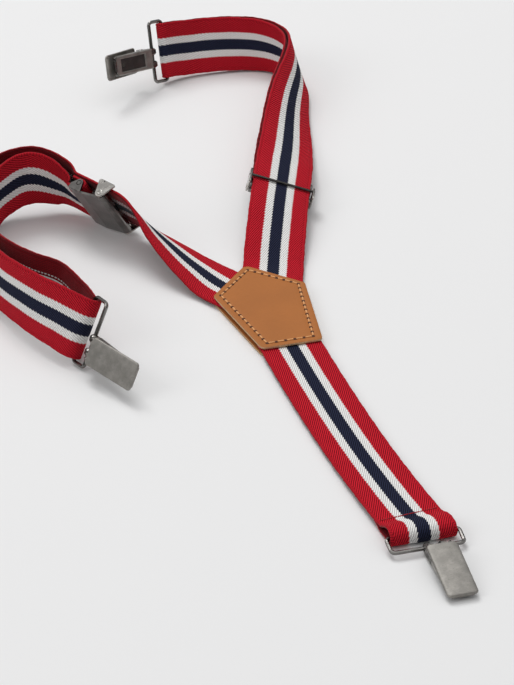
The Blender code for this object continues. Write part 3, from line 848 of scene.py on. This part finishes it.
def stamped_lever(side, place):
    """A stamped channel with a sunken back, low walls and a hole near its tip."""
    base = -KNUCKLE_R
    half = LEVER_WIDTH / 2
    bend = 0.55
    bm = bmesh.new()
    start, end = 2.0, LEVER_LENGTH - 0.4
    rows = []
    sunk = []
    for i in range(57):
        x = start + (end - start) * i / 56
        away = max(0.0, (x - 8.5) / (end - 8.5))
        wall = base + 2.5 - 1.3 * away
        section = [(-half, wall), (-half, base + 0.9)]
        section += [(-half + bend + p, base + bend + q) for p, q in arc((0, 0), bend, 180, 270, 4)]
        flat = [-half + bend + (2 * half - 2 * bend) * k / 22 for k in range(1, 22)]
        section += [(y, base) for y in flat]
        section += [(half - bend + p, base + bend + q) for p, q in arc((0, 0), bend, 270, 360, 4)]
        section += [(half, base + 0.9), (half, wall)]
        rows.append([
            bm.verts.new(place @ Vector((x, y, z + (embossed(x, y) if z <= base else 0))))
            for y, z in section
        ])
        sunk.append([embossed(x, y) > 0.45 and z <= base for y, z in section])
    for i, (one, two) in enumerate(zip(rows, rows[1:])):
        for k in range(len(one) - 1):
            face = bm.faces.new((one[k], two[k], two[k + 1], one[k + 1]))
            face.material_index = int(sunk[i][k] and sunk[i + 1][k + 1])
    bmesh.ops.recalc_face_normals(bm, faces=bm.faces)
    body = make_object(f"{side}_stamped_lever", bm, (RIM, RECESS))
    thick = body.modifiers.new("sheet", "SOLIDIFY")
    thick.thickness = 0.55 * MM
    thick.offset = -1
    hole = bmesh.new()
    bmesh.ops.create_cone(
        hole, cap_ends=True, segments=24, radius1=LEVER_HOLE_R, radius2=LEVER_HOLE_R, depth=4,
        matrix=place @ Matrix.Translation((LEVER_LENGTH - 5.2, 0, base)),
    )
    cutter = make_object(f"{side}_hole_cutter", hole, ())
    cut = body.modifiers.new("hole", "BOOLEAN")
    cut.operation = "DIFFERENCE"
    cut.object = cutter
    apply_modifiers(body)
    bpy.data.objects.remove(cutter, do_unlink=True)
    body.data.shade_smooth()
    body.data.set_sharp_from_angle(angle=math.radians(METAL_ANGLE))
    metal_piece(body, f"{side}_clip", f"{side}_jaw_lever")


def lever_fittings(side, place):
    """The lever's curled knuckle, hooked jaw and ears."""
    base = -KNUCKLE_R
    half = LEVER_WIDTH / 2
    end = LEVER_LENGTH - 0.4
    fittings = bmesh.new()
    curl = arc((0, 0), KNUCKLE_R, -90, -352, 26) + arc((0, 0), KNUCKLE_R - SHEET, 8, 270, 26)
    for y in (-2.85, 2.85):
        slab(fittings, place, curl + [(2.4, base + SHEET), (2.4, base)], y, 3.0)
    hook = [
        (end - 1.2, base + 0.05), (end - 1.2, base + 0.6), (end - 0.3, base + 0.7),
        (end, base + 1.35), (end + 0.7, base + 1.35), (end + 0.8, base + 0.6),
        (end + 0.4, base + 0.05),
    ]
    slab(fittings, place, hook, 0, LEVER_WIDTH - 0.3)
    pin = (JAW_PIN_X, JAW_PIN_Z)
    ear = arc(pin, LEVER_EAR_R, -20, 200, 18) + [(2.3, base + 0.7), (9.5, base + 0.7), (9.2, base + 2.3)]
    for y in (half - 0.3, 0.3 - half):
        slab(fittings, place, ear, y, 0.6)
    bmesh.ops.recalc_face_normals(fittings, faces=fittings.faces)
    name = f"{side}_lever_ears_and_knuckle"
    fitted = make_object(name, fittings, (DARK_METAL,), METAL_ANGLE)
    metal_piece(fitted, f"{side}_clip", f"{side}_jaw_lever")


RIVET_PROFILE = (  # radius, distance in from the end of the pin
    (0.3, 0.1), (0.42, -0.12), (0.62, -0.18), (0.85, -0.12), (1.1, 0.02), (1.15, 0.2), (0.7, 0.2),
)
ADJUSTER_PIN_PROFILE = (
    (0.2, 0.7), (0.5, 0.6), (0.55, 0.1), (0.68, -0.2), (0.95, -0.25), (1.2, -0.12), (1.25, 0.0),
    (0.9, 0.0),
)


def turned_pin(name, place, centre, half, profile):
    """A pin along y with the same turned head at both ends."""
    sides = 20
    stations = [(r, z - half) for r, z in profile]
    stations += [(r, -y) for r, y in reversed(stations)]
    circle = arc((0, 0), 1.0, 0, 360, sides)[:-1]
    bm = bmesh.new()
    loops = []
    for radius, y in stations:
        points = [(centre[0] + radius * x, y, centre[1] + radius * z) for x, z in circle]
        loops.append([bm.verts.new(place @ Vector(point)) for point in points])
    skin(bm, loops)
    bmesh.ops.recalc_face_normals(bm, faces=bm.faces)
    return make_object(name, bm, (BRIGHT,))


def rivet(side, place):
    """The jaw's pin, with a flared head and a dimple at each end."""
    pin = (JAW_PIN_X, JAW_PIN_Z)
    obj = turned_pin(f"{side}_rivet", place, pin, LEVER_WIDTH / 2, RIVET_PROFILE)
    metal_piece(obj, f"{side}_clip", f"{side}_jaw_pin")


def adjuster_bridge(side, place):
    """A rounded bar across the strap, with an eased ear down each side to the pin."""
    height = STRAP_THICK / 2 + GAP
    top, corner = height + 2 * BRIDGE_BAR_R, 1.0
    ear = arc((EAR_HALF - corner, top - corner), corner, 10, 90, 6)
    ear += arc((corner - EAR_HALF, top - corner), corner, 90, 170, 6)
    ear += arc((0, ADJUSTER_PIN_Z), EAR_FOOT_R, 195, 345, 14)
    bm = bmesh.new()
    for y in (BRIDGE_HALF - SHEET / 2, SHEET / 2 - BRIDGE_HALF):
        slab(bm, place, ear, y, SHEET)
    bmesh.ops.recalc_face_normals(bm, faces=bm.faces)
    # Painted highlight: the ears take the bright metal, though they are one stamped piece with the bar
    ears = make_object(f"{side}_adjuster_ears", bm, (BRIGHT,), METAL_ANGLE)
    metal_piece(ears, "straps", f"{side}_bridge")
    reach = BRIDGE_HALF - 0.4
    ends = [place @ Vector((BRIDGE_BAR_X, y, height + BRIDGE_BAR_R)) for y in (-reach, reach)]
    bm = bmesh.new()
    capsule(bm, *ends, BRIDGE_BAR_R, 14)
    # Painted shade: the bar takes a near-black copy of the dark metal
    bar = make_object(f"{side}_adjuster_bar", bm, (BAR_SHADE_METAL,))
    metal_piece(bar, "straps", f"{side}_bridge")
    name, centre = f"{side}_adjuster_pin", (0, ADJUSTER_PIN_Z)
    pin = turned_pin(name, place, centre, BRIDGE_HALF, ADJUSTER_PIN_PROFILE)
    metal_piece(pin, "straps", f"{side}_bridge_pin")


def build_adjusters(courses):
    for side, at in (("right", RIGHT_ADJUSTER_AT), ("left", LEFT_ADJUSTER_AT)):
        adjuster_bridge(side, courses[side][0].frame(at))


def apply_modifiers(obj):
    """The object's evaluated mesh in place of its own, with no modifiers left."""
    shape = bpy.data.meshes.new_from_object(
        obj.evaluated_get(bpy.context.evaluated_depsgraph_get())
    )
    obj.modifiers.clear()
    obj.data = shape


def build_clips(courses):
    for side, (course, layers) in courses.items():
        place = knuckle_frame(side, course, layers)
        front_plate(side, place)
        stamped_lever(side, place)
        lever_fittings(side, place)
        rivet(side, place)


# ---------------------------------------------------------------- CAD nodes that stay visible

def finish_cad_nodes():
    """Finishes for the rings, springs, cam levers and end bars, and eased edges on the levers."""
    for name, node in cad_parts.items():
        if node.hide_render:
            continue
        node.data.materials.clear()
        node.data.materials.append(BRIGHT if name.endswith("spring") else DARK_METAL)
        if name.endswith("cam_lever"):
            ease = node.modifiers.new("eased edges", "BEVEL")
            ease.width = EDGE_EASE * MM
            ease.segments = 2
            ease.limit_method = "ANGLE"
            ease.angle_limit = math.radians(40)
        node.data.shade_smooth()
        node.data.set_sharp_from_angle(angle=math.radians(CAD_ANGLE))


# ---------------------------------------------------------------- studio

def build_floor():
    bpy.ops.mesh.primitive_plane_add(size=FLOOR_SIZE, location=(0, 0, 0))
    floor = bpy.context.object
    floor.name = "studio_floor"
    floor.data.materials.append(floor_material())


def build_camera(scene):
    data = bpy.data.cameras.new("camera")
    data.sensor_fit = "VERTICAL"
    data.sensor_height = CAMERA_SENSOR
    data.lens = CAMERA_LENS
    data.clip_end = 20
    camera = bpy.data.objects.new("camera", data)
    camera.location = CAMERA_PLACE
    camera.rotation_euler = [math.radians(turn) for turn in CAMERA_TURN]
    scene.collection.objects.link(camera)
    scene.camera = camera


def build_lights(scene):
    for name, place, size, power in LIGHTS:
        light = bpy.data.lights.new(name, "AREA")
        light.size = size
        light.energy = power
        lamp = bpy.data.objects.new(name, light)
        lamp.location = place
        lamp.rotation_euler = (-Vector(place)).to_track_quat("-Z", "Y").to_euler()
        scene.collection.objects.link(lamp)


def build_world(scene):
    """A neutral surround that is darker near the floor, so that the metal has some contrast."""
    world = bpy.data.worlds.new("studio")
    world.use_nodes = True
    tree = world.node_tree
    background = tree.nodes["Background"]
    where = tree.nodes.new("ShaderNodeTexCoord")
    height = tree.nodes.new("ShaderNodeSeparateXYZ")
    rise = tree.nodes.new("ShaderNodeMapRange")
    rise.interpolation_type = "SMOOTHSTEP"
    rise.inputs["From Min"].default_value, rise.inputs["From Max"].default_value = WORLD_RISE
    rise.inputs["To Min"].default_value, rise.inputs["To Max"].default_value = WORLD_STRENGTH
    tree.links.new(where.outputs["Generated"], height.inputs[0])
    tree.links.new(height.outputs["Z"], rise.inputs["Value"])
    tree.links.new(rise.outputs[0], background.inputs["Strength"])
    background.inputs["Color"].default_value = WORLD
    scene.world = world
    scene.view_settings.view_transform = "Standard"


def build_studio():
    scene = bpy.context.scene
    build_floor()
    build_camera(scene)
    build_lights(scene)
    build_world(scene)


WEB_FACE = webbing_face()
WEB_REVERSE = webbing_reverse()
WEB_EDGE = webbing_edge()
LEATHER_TOP = leather("leather_grain", LEATHER)
LEATHER_EDGE = leather("leather_cut_edge", LEATHER_CUT, 2.0)
TAN_THREAD = thread("tan_thread", THREAD)
RED_THREAD = thread("red_thread", shade(RED, 0.8))
DARK = plain("needle_hole", NEEDLE_HOLE_SHADE, 0.9)
BRUSHED = metal("brushed_antique_metal", METAL, 0.5, metallic=0.7)
DARK_METAL = metal("dark_antique_metal", METAL_DARK, 0.18, 0.3)
RIM = metal("lever_rim_metal", METAL_RIM, 0.34, 0.6, metallic=0.8)
# a near-black copy of the dark metal, painted shade on the adjusters' bars
BAR_SHADE_METAL = metal("adjuster_bar_painted_shade_metal", shade(METAL_DARK, 0.35), 0.22, 0.3)
RECESS = metal("lever_recess_metal", METAL_RECESS, 0.36, 0.5, metallic=0.8)
BRIGHT = metal("bright_wire_metal", METAL_BRIGHT, 0.22, 0.3)

laid = build_straps()
build_seam(laid["back"][0])
build_patch()
build_clips(laid)
build_adjusters(laid)
finish_cad_nodes()
build_studio()

bpy.context.view_layer.update()
